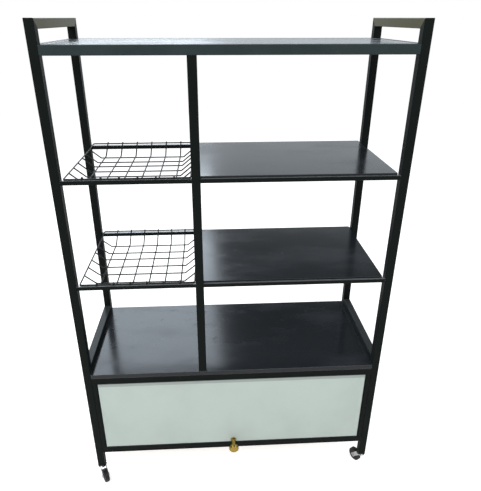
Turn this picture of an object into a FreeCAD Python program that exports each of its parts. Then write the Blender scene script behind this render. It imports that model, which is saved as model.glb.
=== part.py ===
import FreeCAD, Part
import Sketcher
import os

# Microwave stand with drawer: a welded square-tube rack on four swivel casters.
# Frame: +X to the right, +Y to the back, +Z up. Origin: floor level, under the
# middle of the tube frame. All sizes are in millimetres and degrees.

SIZES = {
    "frame_width": 1000.0,
    "frame_depth": 400.0,
    "tube_side": 25.0,
    "tube_wall": 1.5,
    "tube_round": 2.0,
    "mitre_overcut": 1.0,
    "post_length": 1510.0,
    "caster_height": 60.0,
    "base_rail_lift": 69.0,
    "drawer_opening_height": 293.0,
    "stile_width": 15.0,
    "board_thickness": 16.0,
    "lower_shelf_lift": 755.0,
    "upper_shelf_lift": 1091.0,
    "handle_gap": 35.0,
    "top_panel_thickness": 10.0,
    "middle_post_offset": 103.5,
    "slim_side": 12.7,
    "slim_wall": 1.2,
    "slim_round": 1.2,
    "sheet_thickness": 6.0,
    "sheet_setback": 8.0,
    "sheet_side_gap": 8.0,
    "sheet_tuck": 12.0,
    "basket_wire": 3.0,
    "basket_side_gap": 6.0,
    "basket_drop": 30.0,
    "basket_side_slope": 35.0,
    "basket_front_slope": 30.0,
    "basket_rear_slope": 56.0,
    "panel_gap": 2.5,
    "panel_recess": 2.0,
    "panel_thickness": 16.0,
    "drawer_wall": 12.0,
    "drawer_floor": 5.0,
    "drawer_floor_lift": 8.0,
    "drawer_box_height": 220.0,
    "drawer_box_depth": 340.0,
    "drawer_box_lift": 34.0,
    "slide_length": 370.0,
    "slide_height": 45.0,
    "slide_step": 5.0,
    "slide_member": 4.1,
    "slide_clearance": 0.2,
    "slide_lift": 110.0,
    "knob_lift": 8.2,
    "knob_head_radius": 17.0,
    "knob_head_length": 11.0,
    "knob_neck_radius": 7.0,
    "knob_rose_radius": 10.5,
    "knob_rose_length": 3.0,
    "knob_flare_length": 3.0,
    "knob_length": 45.0,
    "knob_taper": 2.0,
    "knob_chamfer": 3.0,
    "screw_radius": 2.0,
    "screw_head_radius": 4.2,
    "screw_head_height": 2.4,
    "screw_grip": 10.0,
    "screw_tip_gap": 1.0,
    "hole_clearance": 0.25,
    "plug_height": 30.0,
    "plug_clearance": 0.05,
    "stem_radius": 4.0,
    "stem_length": 26.0,
    "flange_radius": 12.5,
    "flange_thickness": 3.0,
    "rivet_radius": 6.5,
    "rivet_height": 2.0,
    "swivel_gap": 0.3,
    "swivel_clearance": 0.08,
    "wheel_radius": 24.0,
    "wheel_width": 16.0,
    "wheel_round": 2.0,
    "caster_trail": 26.0,
    "fork_sheet": 2.0,
    "fork_gap": 1.0,
    "fork_top_radius": 15.0,
    "fork_eye_radius": 8.0,
    "axle_radius": 3.0,
    "axle_clearance": 0.08,
    "axle_head_radius": 5.0,
    "axle_head_height": 2.0,
}

# Turns, in degrees, that do not change with size.
HALF_TURN = 180.0
QUARTER_TURN = 90.0
MITRE_TURN = 45.0

# Resting swivel angle of each caster: 0 points its wheel to the front.
CASTER_TURNS = {
    "front_left": 30.0,
    "front_right": -152.0,
    "rear_left": 160.0,
    "rear_right": 200.0,
}

doc = FreeCAD.newDocument("MicrowaveStand")
sheet = doc.addObject("Spreadsheet::Sheet", "Sizes")
for row, (alias, number) in enumerate(SIZES.items(), start=1):
    sheet.set(f"A{row}", alias.replace("_", " "))
    sheet.set(f"B{row}", str(number))
    sheet.setAlias(f"B{row}", alias)
ruler = doc.addObject("App::FeaturePython", "Ruler")
ruler.addProperty("App::PropertyFloat", "Reading")
doc.recompute()

nodes = []


def linked(formula):
    """Turn plain size names in a formula into references to the sheet's cells."""
    words = []
    for word in formula.replace("(", " ( ").replace(")", " ) ").split():
        words.append(f"Sizes.{word}" if word in SIZES else word)
    return " ".join(words)


def bind(item, prop, formula):
    item.setExpression(prop, linked(formula))


def place(item, corner):
    for axis, formula in zip("xyz", corner):
        bind(item, f"Placement.Base.{axis}", formula)


def keep(item, label):
    """Give a finished piece its node name."""
    item.Label = label
    nodes.append(item)
    return item


def block(name, size, corner):
    item = doc.addObject("Part::Box", name)
    for prop, formula in zip(("Length", "Width", "Height"), size):
        bind(item, prop, formula)
    place(item, corner)
    return item


def rod(name, radius, length, start, along="Z"):
    item = doc.addObject("Part::Cylinder", name)
    bind(item, "Radius", radius)
    bind(item, "Height", length)
    turns = {
        "Z": FreeCAD.Rotation(),
        "X": FreeCAD.Rotation(FreeCAD.Vector(0, 1, 0), QUARTER_TURN),
        "Y": FreeCAD.Rotation(FreeCAD.Vector(1, 0, 0), -QUARTER_TURN),
    }
    item.Placement = FreeCAD.Placement(FreeCAD.Vector(0, 0, 0), turns[along])
    place(item, start)
    return item


def minus(name, base, tool):
    item = doc.addObject("Part::Cut", name)
    item.Base = base
    item.Tool = tool
    return item


def joined(name, pieces):
    item = doc.addObject("Part::MultiFuse", name)
    item.Shapes = pieces
    item.Refine = True
    return item


def grouped(name, pieces):
    item = doc.addObject("Part::Compound", name)
    item.Links = pieces
    return item


def softened(name, item, along, radius):
    """Round the long edges of a block that runs along one axis."""
    doc.recompute()
    direction = {"X": (1, 0, 0), "Y": (0, 1, 0), "Z": (0, 0, 1)}[along]
    edges = []
    for index, edge in enumerate(item.Shape.Edges, start=1):
        ends = [vertex.Point for vertex in edge.Vertexes]
        run = (ends[1] - ends[0]).normalize()
        if abs(run.dot(FreeCAD.Vector(*direction))) > 0.99:
            edges.append((index, radius, radius))
    rounded = doc.addObject("Part::Fillet", name)
    rounded.Base = item
    rounded.Edges = edges
    return rounded


def tube(name, along, length, corner, family="tube", width=None):
    """A square tube, or a flat one of another width across X, and its length."""
    side = f"{family}_side"
    wall = f"{family}_wall"
    sides = {"X": width or side, "Y": side, "Z": side}
    size = [length if axis == along else sides[axis] for axis in "XYZ"]
    bore_size = [
        length if axis == along else f"{sides[axis]} - 2 * {wall}" for axis in "XYZ"
    ]
    bore_corner = [
        formula if axis == along else f"{formula} + {wall}"
        for axis, formula in zip("XYZ", corner)
    ]
    outside = block(f"{name}_outside", size, corner)
    rounded = softened(f"{name}_rounded", outside, along, SIZES[f"{family}_round"])
    inside = block(f"{name}_inside", bore_size, bore_corner)
    return minus(f"{name}_tube", rounded, inside)


# Places that several pieces share.
LEFT = "0 - frame_width / 2"
RIGHT_TUBE = "frame_width / 2 - tube_side"
FRONT = "0 - frame_depth / 2"
REAR_TUBE = "frame_depth / 2 - tube_side"
SPAN_X = "frame_width - 2 * tube_side"
SPAN_Y = "frame_depth - 2 * tube_side"
INNER_LEFT = "0 - frame_width / 2 + tube_side"
INNER_FRONT = "0 - frame_depth / 2 + tube_side"
BAY_LEFT = "0 - frame_width / 2 + tube_side + stile_width"
BAY_SPAN = "frame_width - 2 * tube_side - 2 * stile_width"
POST_FOOT = "caster_height"
POST_TOP = "caster_height + post_length"
BASE_RAIL = "caster_height + base_rail_lift"
OPENING = "caster_height + base_rail_lift + tube_side"
CABINET_RAIL = "caster_height + base_rail_lift + tube_side + drawer_opening_height"
BOARD = f"{CABINET_RAIL} + tube_side"
BOARD_TOP = f"{BOARD} + board_thickness"
TOP_RAIL = "caster_height + post_length - handle_gap - 2 * tube_side"
MIDDLE_LEFT = "0 - middle_post_offset - tube_side / 2"
MIDDLE_RIGHT = "0 - middle_post_offset + tube_side / 2"
SLIDE_SPACE = "( 3 * slide_member + 2 * slide_clearance )"




def mitre_cutter(name, corner, angle):
    """A block whose lower face lies on a mitre plane through the corner."""
    item = doc.addObject("Part::Box", name)
    bind(item, "Length", "tube_side + 2 * mitre_overcut")
    bind(item, "Width", "2 * tube_side")
    bind(item, "Height", "tube_side")
    turn = FreeCAD.Rotation(FreeCAD.Vector(1, 0, 0), angle)
    item.Placement = FreeCAD.Placement(FreeCAD.Vector(0, 0, 0), turn)
    place(item, corner)
    return item


def post(label, left, rear):
    """A corner post whose top end is mitred to meet the handle bar."""
    side_x = LEFT if left else RIGHT_TUBE
    side_y = REAR_TUBE if rear else FRONT
    body = tube(label, "Z", "post_length", (side_x, side_y, POST_FOOT))
    mitre_foot = f"{POST_TOP} - tube_side" if rear else POST_TOP
    turn = MITRE_TURN if rear else -MITRE_TURN
    corner = (f"{side_x} - mitre_overcut", side_y, mitre_foot)
    cutter = mitre_cutter(f"{label}_mitre", corner, turn)
    return keep(minus(f"{label}_mitred", body, cutter), label)


def handle_bar(label, left):
    """The bar between the tops of a front and a rear post, mitred at both ends."""
    side_x = LEFT if left else RIGHT_TUBE
    low = f"{POST_TOP} - tube_side"
    bar = tube(label, "Y", "frame_depth", (side_x, FRONT, low))
    turn = HALF_TURN - MITRE_TURN
    front_corner = (f"{side_x} - mitre_overcut", INNER_FRONT, low)
    front = mitre_cutter(f"{label}_front_mitre", front_corner, turn)
    rear_corner = (f"{side_x} - mitre_overcut", "frame_depth / 2", POST_TOP)
    rear = mitre_cutter(f"{label}_rear_mitre", rear_corner, -turn)
    ends = joined(f"{label}_mitres", [front, rear])
    return keep(minus(f"{label}_mitred", bar, ends), label)


def ring_of_rails(prefix, height, sides="front rear left right"):
    """Rails at one height between the four posts."""
    runs = {
        "front": ("X", SPAN_X, (INNER_LEFT, FRONT, height)),
        "rear": ("X", SPAN_X, (INNER_LEFT, REAR_TUBE, height)),
        "left": ("Y", SPAN_Y, (LEFT, INNER_FRONT, height)),
        "right": ("Y", SPAN_Y, (RIGHT_TUBE, INNER_FRONT, height)),
    }
    for side in sides.split():
        along, length, corner = runs[side]
        label = f"{prefix}_{side}_rail"
        keep(tube(label, along, length, corner), label)


def make_frame():
    for depth in ("front", "rear"):
        for hand in ("left", "right"):
            post(f"{depth}_{hand}_post", hand == "left", depth == "rear")
    for hand in ("left", "right"):
        handle_bar(f"{hand}_handle_bar", hand == "left")
    ring_of_rails("top", TOP_RAIL)
    ring_of_rails("cabinet", CABINET_RAIL)
    ring_of_rails("base", BASE_RAIL)
    ring_of_rails("guard", BOARD_TOP, "left right")
    middle = tube(
        "middle_post",
        "Z",
        f"{TOP_RAIL} - ( {BOARD_TOP} )",
        (MIDDLE_LEFT, FRONT, BOARD_TOP),
    )
    keep(middle, "middle_post")
    for depth, side_y in (("front", FRONT), ("rear", REAR_TUBE)):
        for hand, side_x in (("left", INNER_LEFT), ("right", f"{RIGHT_TUBE} - stile_width")):
            label = f"{depth}_{hand}_stile"
            corner = (side_x, side_y, OPENING)
            stile = tube(label, "Z", "drawer_opening_height", corner, width="stile_width")
            keep(stile, label)


def make_boards():
    top = block(
        "top_panel_block",
        (SPAN_X, SPAN_Y, "top_panel_thickness"),
        (INNER_LEFT, INNER_FRONT, f"{TOP_RAIL} + tube_side - top_panel_thickness"),
    )
    keep(top, "top_panel")
    across = block(
        "board_across", (SPAN_X, "frame_depth", "board_thickness"), (INNER_LEFT, FRONT, BOARD)
    )
    along = block(
        "board_along", ("frame_width", SPAN_Y, "board_thickness"), (LEFT, INNER_FRONT, BOARD)
    )
    keep(joined("board_whole", [across, along]), "cabinet_board")


def make_shelf_levels():
    """Two levels, each with slim rails, a right-hand sheet and a left-hand basket."""
    left_run = "( frame_width / 2 - tube_side - middle_post_offset - tube_side / 2 )"
    right_run = "( frame_width / 2 - tube_side + middle_post_offset - tube_side / 2 )"
    rear_y = "frame_depth / 2 - slim_side"
    rails = {"left_front": [], "right_front": [], "rear": []}
    for prefix in ("lower", "upper"):
        height = f"caster_height + {prefix}_shelf_lift"
        rail_top = f"{height} + slim_side"
        runs = {
            "left_front": (left_run, (INNER_LEFT, FRONT, height)),
            "right_front": (right_run, (MIDDLE_RIGHT, FRONT, height)),
            "rear": (SPAN_X, (INNER_LEFT, rear_y, height)),
        }
        for side, (length, corner) in runs.items():
            rails[side].append(tube(f"{prefix}_{side}", "X", length, corner, "slim"))
        shelf_front = block(
            f"{prefix}_sheet_front",
            (
                f"{right_run} - sheet_side_gap",
                "frame_depth - 2 * sheet_setback",
                "sheet_thickness",
            ),
            (MIDDLE_RIGHT, f"{FRONT} + sheet_setback", rail_top),
        )
        shelf_rear = block(
            f"{prefix}_sheet_rear",
            (
                f"{right_run} - sheet_side_gap + sheet_tuck",
                "frame_depth - tube_side - sheet_setback",
                "sheet_thickness",
            ),
            (f"{MIDDLE_RIGHT} - sheet_tuck", INNER_FRONT, rail_top),
        )
        shelf = joined(f"{prefix}_sheet", [shelf_front, shelf_rear])
        keep(shelf, f"{prefix}_shelf")
        make_basket(f"{prefix}_basket", rail_top, left_run)
    for side, pair in rails.items():
        keep(grouped(f"{side}_pair", pair), f"{side}_shelf_rails")


def basket_pan(name, inset, rail_top, left_run):
    """A four-sided pan that narrows downwards, as a wedge standing on its rim."""
    pan = doc.addObject("Part::Wedge", name)
    wide = f"( {left_run} - basket_side_gap )"
    deep = "( frame_depth - 2 * slim_side )"
    narrow = f"basket_side_slope + {inset}"
    bind(pan, "Xmin", inset)
    bind(pan, "Xmax", f"{wide} - {inset}")
    bind(pan, "X2min", narrow)
    bind(pan, "X2max", f"{wide} - {narrow}")
    bind(pan, "Zmin", inset)
    bind(pan, "Zmax", f"{deep} - {inset}")
    bind(pan, "Z2min", f"basket_front_slope + {inset}")
    bind(pan, "Z2max", f"{deep} - basket_rear_slope - {inset}")
    pan.Ymin = 0
    bind(pan, "Ymax", f"basket_drop - {inset}")
    down = FreeCAD.Rotation(FreeCAD.Vector(1, 0, 0), -QUARTER_TURN)
    pan.Placement = FreeCAD.Placement(FreeCAD.Vector(0, 0, 0), down)
    front_face = f"{FRONT} + slim_side"
    place(pan, (f"{INNER_LEFT} + basket_side_gap", front_face, rail_top))
    return pan


def make_basket(label, rail_top, left_run):
    """A shallow hanging basket: sloped pan and rim that lies on both slim rails."""
    outside = basket_pan(f"{label}_outside", "0", rail_top, left_run)
    inside = basket_pan(f"{label}_inside", "basket_wire", rail_top, left_run)
    wide = f"{left_run} - basket_side_gap"
    corner_x = f"{INNER_LEFT} + basket_side_gap"
    rim = block(
        f"{label}_rim",
        (wide, "frame_depth - slim_side", "basket_wire"),
        (corner_x, f"{FRONT} + slim_side / 2", rail_top),
    )
    mouth = block(
        f"{label}_mouth",
        (
            f"{wide} - 2 * basket_wire",
            "frame_depth - 2 * slim_side - 2 * basket_wire",
            "2 * basket_wire",
        ),
        (f"{corner_x} + basket_wire", f"{FRONT} + slim_side + basket_wire", rail_top),
    )
    solid = joined(f"{label}_solid", [outside, rim])
    hollow = joined(f"{label}_hollow", [inside, mouth])
    keep(minus(f"{label}_open", solid, hollow), label)


def make_drawer():
    panel_wide = f"{BAY_SPAN} - 2 * panel_gap"
    panel_left = f"{BAY_LEFT} + panel_gap"
    panel_front = f"{FRONT} + panel_recess"
    panel_back = f"{panel_front} + panel_thickness"
    box_wide = f"( {BAY_SPAN} - 2 * {SLIDE_SPACE} )"
    box_left = f"{BAY_LEFT} + {SLIDE_SPACE}"
    box_foot = f"{OPENING} + drawer_box_lift"
    knob_height = f"{OPENING} + panel_gap + knob_lift"

    panel_block = block(
        "panel_block",
        (panel_wide, "panel_thickness", "drawer_opening_height - 2 * panel_gap"),
        (panel_left, panel_front, f"{OPENING} + panel_gap"),
    )
    screw_hole = rod(
        "panel_screw_hole",
        "screw_radius + hole_clearance",
        "panel_thickness",
        ("0", panel_front, knob_height),
        "Y",
    )
    keep(minus("panel_drilled", panel_block, screw_hole), "drawer_front_panel")

    walls = {
        "drawer_inner_front": (
            (box_wide, "drawer_wall", "drawer_box_height"),
            (box_left, panel_back, box_foot),
        ),
        "drawer_back": (
            (box_wide, "drawer_wall", "drawer_box_height"),
            (box_left, f"{panel_back} + drawer_box_depth - drawer_wall", box_foot),
        ),
        "drawer_left_side": (
            ("drawer_wall", "drawer_box_depth - 2 * drawer_wall", "drawer_box_height"),
            (box_left, f"{panel_back} + drawer_wall", box_foot),
        ),
        "drawer_right_side": (
            ("drawer_wall", "drawer_box_depth - 2 * drawer_wall", "drawer_box_height"),
            (f"0 - ( {box_left} ) - drawer_wall", f"{panel_back} + drawer_wall", box_foot),
        ),
        "drawer_bottom": (
            (
                f"{box_wide} - 2 * drawer_wall",
                "drawer_box_depth - 2 * drawer_wall",
                "drawer_floor",
            ),
            (
                f"{box_left} + drawer_wall",
                f"{panel_back} + drawer_wall",
                f"{box_foot} + drawer_floor_lift",
            ),
        ),
    }
    for label, (size, corner) in walls.items():
        keep(block(f"{label}_board", size, corner), label)
    make_slides(panel_back)
    make_knob(panel_front, knob_height)


def make_slides(panel_back):
    """Three nested members on each side of the drawer, from the stile inwards."""
    members = {
        "slide_outer_members": ("slide_length", 0),
        "slide_middle_members": ("drawer_box_depth", 1),
        "slide_inner_members": ("drawer_box_depth", 2),
    }
    for label, (length, rank) in members.items():
        inset = f"{rank} * ( slide_member + slide_clearance )"
        corners = {
            "left": f"{BAY_LEFT} + {inset}",
            "right": f"0 - ( {BAY_LEFT} ) - {inset} - slide_member",
        }
        pair = []
        for hand, corner_x in corners.items():
            corner = (corner_x, panel_back, f"{OPENING} + slide_lift + {rank} * slide_step")
            tall = f"slide_height - 2 * {rank} * slide_step"
            pair.append(block(f"{label}_{hand}", ("slide_member", length, tall), corner))
        keep(grouped(f"{label}_pair", pair), label)


def profile(body, name, plane, points):
    """A closed outline in a body's own plane, each corner tied to two formulas."""
    sketch = body.newObject("Sketcher::SketchObject", name)
    role = {"XZ": "XZ_Plane", "YZ": "YZ_Plane"}[plane]
    origin_plane = [item for item in body.Origin.OriginFeatures if item.Role == role][0]
    sketch.AttachmentSupport = [(origin_plane, "")]
    sketch.MapMode = "FlatFace"
    doc.recompute()
    guess = [sized_point(point) for point in points]
    for index, start in enumerate(guess):
        end = guess[(index + 1) % len(guess)]
        sketch.addGeometry(Part.LineSegment(start, end), False)
    for index in range(len(guess)):
        following = (index + 1) % len(guess)
        sketch.addConstraint(Sketcher.Constraint("Coincident", index, 2, following, 1))
    for index, (across, up) in enumerate(points):
        tie(sketch, index, "X", across, guess[index].x)
        tie(sketch, index, "Y", up, guess[index].y)
    return sketch


def sized_point(point):
    """The place that two formulas give for the present sizes."""
    across, up = (reading(formula) for formula in point)
    return FreeCAD.Vector(across, up, 0)


def reading(formula):
    """The number that a formula gives for the present sizes."""
    bind(ruler, "Reading", formula)
    ruler.recompute()
    return ruler.Reading


def tie(sketch, index, axis, formula, guess):
    """Hold one coordinate of a corner: on the axis, or at a formula's distance."""
    if formula == "0":
        line = -2 if axis == "X" else -1
        sketch.addConstraint(Sketcher.Constraint("PointOnObject", index, 1, line))
        return
    kind = f"Distance{axis}"
    number = sketch.addConstraint(Sketcher.Constraint(kind, -1, 1, index, 1, guess))
    sketch.setExpression(f"Constraints[{number}]", linked(formula))


def turned(name, points):
    """A body of revolution about its own Z axis."""
    body = doc.addObject("PartDesign::Body", f"{name}_body")
    sketch = profile(body, f"{name}_outline", "XZ", points)
    turn = body.newObject("PartDesign::Revolution", f"{name}_turn")
    turn.Profile = sketch
    turn.ReferenceAxis = (sketch, ["V_Axis"])
    turn.Angle = 360.0
    return body


def padded(name, points, thickness):
    """A flat plate cut to an outline in its YZ plane."""
    body = doc.addObject("PartDesign::Body", f"{name}_body")
    sketch = profile(body, f"{name}_outline", "YZ", points)
    pad = body.newObject("PartDesign::Pad", f"{name}_pad")
    pad.Profile = sketch
    bind(pad, "Length", thickness)
    return body


def make_knob(panel_front, height):
    """The brass knob, turned, and the screw that holds it from behind the panel."""
    shoulder = "knob_length - knob_head_length"
    bore = "screw_radius + hole_clearance"
    knob = turned(
        "knob",
        [
            (bore, "0"),
            ("knob_rose_radius", "0"),
            ("knob_rose_radius", "knob_rose_length"),
            ("knob_neck_radius", "knob_rose_length + knob_flare_length"),
            ("knob_neck_radius", f"{shoulder} - knob_taper"),
            ("knob_head_radius", f"{shoulder} + knob_taper"),
            ("knob_head_radius", "knob_length - knob_chamfer"),
            ("knob_head_radius - knob_chamfer", "knob_length"),
            ("0", "knob_length"),
            ("0", "screw_grip + screw_tip_gap"),
            (bore, "screw_grip + screw_tip_gap"),
        ],
    )
    forward = FreeCAD.Rotation(FreeCAD.Vector(1, 0, 0), QUARTER_TURN)
    knob.Placement = FreeCAD.Placement(FreeCAD.Vector(0, 0, 0), forward)
    place(knob, ("0", panel_front, height))
    keep(knob, "drawer_knob")
    panel_back = f"{panel_front} + panel_thickness"
    shank = rod(
        "knob_screw_shank",
        "screw_radius",
        "panel_thickness + screw_grip",
        ("0", f"{panel_front} - screw_grip", height),
        "Y",
    )
    head = rod(
        "knob_screw_head", "screw_head_radius", "screw_head_height", ("0", panel_back, height), "Y"
    )
    keep(joined("knob_screw_whole", [shank, head]), "knob_screw")


def caster_pieces():
    """One caster about its own swivel axis, its wheel trailing towards +Y."""
    fork_top = "caster_height - flange_thickness - swivel_gap"
    fork_under = f"{fork_top} - fork_sheet"
    rivet_foot = f"{fork_under} - swivel_gap - rivet_height"
    leg_inside = "( wheel_width / 2 + fork_gap )"
    leg_outside = "( wheel_width / 2 + fork_gap + fork_sheet )"

    stem = joined(
        "stem_whole",
        [
            rod(
                "stem_rod",
                "stem_radius",
                f"caster_height + stem_length - ( {rivet_foot} )",
                ("0", "0", rivet_foot),
            ),
            rod(
                "stem_flange",
                "flange_radius",
                "flange_thickness",
                ("0", "0", "caster_height - flange_thickness"),
            ),
            rod("stem_rivet", "rivet_radius", "rivet_height", ("0", "0", rivet_foot)),
        ],
    )

    leg_outline = [
        ("0", fork_under),
        ("0", f"{fork_under} - fork_eye_radius"),
        ("caster_trail - fork_eye_radius", "wheel_radius"),
        ("caster_trail + fork_eye_radius", "wheel_radius"),
        ("fork_top_radius - fork_sheet", fork_under),
    ]
    legs = []
    for hand, inside in (("left", f"0 - {leg_outside}"), ("right", leg_inside)):
        leg = padded(f"fork_{hand}_leg", leg_outline, "fork_sheet")
        bind(leg, "Placement.Base.x", inside)
        eye = rod(
            f"fork_{hand}_eye",
            "fork_eye_radius",
            "fork_sheet",
            (inside, "caster_trail", "wheel_radius"),
            "X",
        )
        legs += [leg, eye]
    crown = rod("fork_crown", "fork_top_radius", "fork_sheet", ("0", "0", fork_under))
    solid = joined("fork_solid", [crown] + legs)
    swivel_hole = rod(
        "fork_swivel_hole",
        "stem_radius + swivel_clearance",
        "fork_sheet",
        ("0", "0", fork_under),
    )
    axle_hole = rod(
        "fork_axle_hole",
        "axle_radius",
        f"2 * {leg_outside}",
        (f"0 - {leg_outside}", "caster_trail", "wheel_radius"),
        "X",
    )
    holes = joined("fork_holes", [swivel_hole, axle_hole])
    fork = minus("fork_drilled", solid, holes)

    wheel = turned(
        "wheel",
        [
            ("axle_radius + axle_clearance", "0"),
            ("wheel_radius - wheel_round", "0"),
            ("wheel_radius", "wheel_round"),
            ("wheel_radius", "wheel_width - wheel_round"),
            ("wheel_radius - wheel_round", "wheel_width"),
            ("axle_radius + axle_clearance", "wheel_width"),
        ],
    )
    sideways = FreeCAD.Rotation(FreeCAD.Vector(0, 1, 0), QUARTER_TURN)
    wheel.Placement = FreeCAD.Placement(FreeCAD.Vector(0, 0, 0), sideways)
    place(wheel, ("0 - wheel_width / 2", "caster_trail", "wheel_radius"))

    axle = joined(
        "axle_whole",
        [
            rod(
                "axle_rod",
                "axle_radius",
                f"2 * {leg_outside}",
                (f"0 - {leg_outside}", "caster_trail", "wheel_radius"),
                "X",
            ),
            rod(
                "axle_left_head",
                "axle_head_radius",
                "axle_head_height",
                (f"0 - {leg_outside} - axle_head_height", "caster_trail", "wheel_radius"),
                "X",
            ),
            rod(
                "axle_right_head",
                "axle_head_radius",
                "axle_head_height",
                (leg_outside, "caster_trail", "wheel_radius"),
                "X",
            ),
        ],
    )
    return stem, fork, wheel, axle


def make_casters():
    """Repeat the caster under each post, turned to its own resting angle."""
    stem, fork, wheel, axle = caster_pieces()
    plug_block = block(
        "plug_block",
        (
            "tube_side - 2 * tube_wall - 2 * plug_clearance",
            "tube_side - 2 * tube_wall - 2 * plug_clearance",
            "plug_height",
        ),
        (
            "0 - tube_side / 2 + tube_wall + plug_clearance",
            "0 - tube_side / 2 + tube_wall + plug_clearance",
            "caster_height",
        ),
    )
    plug_hole = rod("plug_hole", "stem_radius", "plug_height", ("0", "0", "caster_height"))
    plug = minus("plug_drilled", plug_block, plug_hole)
    plugs = []
    stems = []
    for corner, angle in CASTER_TURNS.items():
        depth, hand = corner.split("_")
        sign_x = "0 -" if hand == "left" else "0 +"
        sign_y = "0 -" if depth == "front" else "0 +"
        centre_x = f"{sign_x} ( frame_width - tube_side ) / 2"
        centre_y = f"{sign_y} ( frame_depth - tube_side ) / 2"
        plugs.append(copied(f"{corner}_plug", plug, (centre_x, centre_y, "0"), 0.0))
        stems.append(copied(f"{corner}_stem", stem, (centre_x, centre_y, "0"), 0.0))
        swung = angle + HALF_TURN
        for piece, word in ((fork, "fork"), (wheel, "wheel"), (axle, "axle")):
            label = f"{corner}_caster_{word}"
            keep(copied(f"{label}_copy", piece, (centre_x, centre_y, "0"), swung), label)
    keep(grouped("plug_set", plugs), "post_end_plugs")
    keep(grouped("stem_set", stems), "caster_stems")


def copied(name, piece, spot, angle):
    """A second place for a finished piece, turned about the vertical."""
    item = grouped(name, [piece])
    turn = FreeCAD.Rotation(FreeCAD.Vector(0, 0, 1), angle)
    item.Placement = FreeCAD.Placement(FreeCAD.Vector(0, 0, 0), turn)
    place(item, spot)
    return item


def check_and_write():
    """Stop on a failed feature or a bad shape; otherwise write every node's file."""
    doc.recompute()
    faults = []
    for item in doc.Objects:
        if "Invalid" in item.State or "Error" in item.State:
            faults.append(f"{item.Name}: {item.State}")
    for item in nodes:
        if item.Shape.isNull() or not item.Shape.isValid() or not item.Shape.Solids:
            faults.append(f"{item.Label}: bad shape")
    if faults:
        raise RuntimeError("; ".join(faults))
    os.makedirs("parts", exist_ok=True)
    for item in nodes:
        item.Shape.exportStep(os.path.join("parts", f"{item.Label}.step"))
    print(f"{len(nodes)} nodes written")


make_frame()
make_boards()
make_shelf_levels()
make_drawer()
make_casters()
check_and_write()
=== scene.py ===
"""Microwave stand with drawer: finishes, weld beads, wire baskets, studio and camera."""

import logging
import math
from dataclasses import dataclass, field, replace
from enum import Enum
from typing import Optional, Union

import bpy
from mathutils import Matrix, Vector


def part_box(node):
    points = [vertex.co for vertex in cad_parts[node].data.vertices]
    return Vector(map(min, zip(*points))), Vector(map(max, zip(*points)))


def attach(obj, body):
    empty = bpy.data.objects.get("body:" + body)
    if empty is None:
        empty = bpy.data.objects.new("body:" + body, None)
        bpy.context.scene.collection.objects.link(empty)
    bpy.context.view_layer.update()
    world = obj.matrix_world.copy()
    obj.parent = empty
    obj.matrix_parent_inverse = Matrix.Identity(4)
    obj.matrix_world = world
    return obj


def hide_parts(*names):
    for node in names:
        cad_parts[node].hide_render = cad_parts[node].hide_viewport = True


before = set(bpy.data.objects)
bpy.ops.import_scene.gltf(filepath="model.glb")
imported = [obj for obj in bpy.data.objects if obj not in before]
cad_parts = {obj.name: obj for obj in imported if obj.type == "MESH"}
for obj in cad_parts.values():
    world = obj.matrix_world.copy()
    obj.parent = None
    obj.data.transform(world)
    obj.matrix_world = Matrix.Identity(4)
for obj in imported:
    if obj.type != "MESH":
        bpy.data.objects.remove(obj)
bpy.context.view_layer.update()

Colour = tuple[float, float, float]
Point = tuple[float, float, float]
Span = tuple[float, float]

MM = 0.001
LOG = logging.getLogger("stand")
WHITE: Colour = (1.0, 1.0, 1.0)

DEPTHS = ("front", "rear")
HANDS = ("left", "right")
CORNERS = tuple(f"{depth}_{hand}" for depth in DEPTHS for hand in HANDS)

# The middle of a noise, which runs from 0 to 1.
MIDDLE = 0.5


# --------------------------------------------------------------------------
# Shader sums
# --------------------------------------------------------------------------


class Term:
    """A node socket that takes part in sums written in Python."""

    def __init__(self, recipe: "Recipe", socket: bpy.types.NodeSocket) -> None:
        """Wraps a socket of a recipe's node tree.

        Args:
            recipe: The recipe that owns the socket.
            socket: The output socket.
        """
        self.recipe = recipe
        self.socket = socket

    def _sum(self, operation: str, first: "Feed", second: "Feed") -> "Term":
        """Adds a Math node and returns its result."""
        return self.recipe.node("ShaderNodeMath", {"operation": operation}, {0: first, 1: second})

    def __add__(self, other: "Feed") -> "Term":
        """Returns this plus other."""
        return self._sum("ADD", self, other)

    def __radd__(self, other: "Feed") -> "Term":
        """Returns other plus this."""
        return self._sum("ADD", other, self)

    def __sub__(self, other: "Feed") -> "Term":
        """Returns this minus other."""
        return self._sum("SUBTRACT", self, other)

    def __rsub__(self, other: "Feed") -> "Term":
        """Returns other minus this."""
        return self._sum("SUBTRACT", other, self)

    def __mul__(self, other: "Feed") -> "Term":
        """Returns this times other."""
        return self._sum("MULTIPLY", self, other)

    def __rmul__(self, other: "Feed") -> "Term":
        """Returns other times this."""
        return self._sum("MULTIPLY", other, self)


Feed = Union[Term, float, tuple]


@dataclass(frozen=True)
class Grain:
    """A noise over a surface: features per metre, octaves, roughness and coordinates.

    Where step is given, its two levels become 0 and 1, with a smooth rise between them.
    """

    scale: float
    detail: float = 3.0
    rough: float = 0.5
    step: Optional[Span] = None
    stretch: Optional[Point] = None
    turn: Point = (0.0, 0.0, 0.0)


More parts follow.
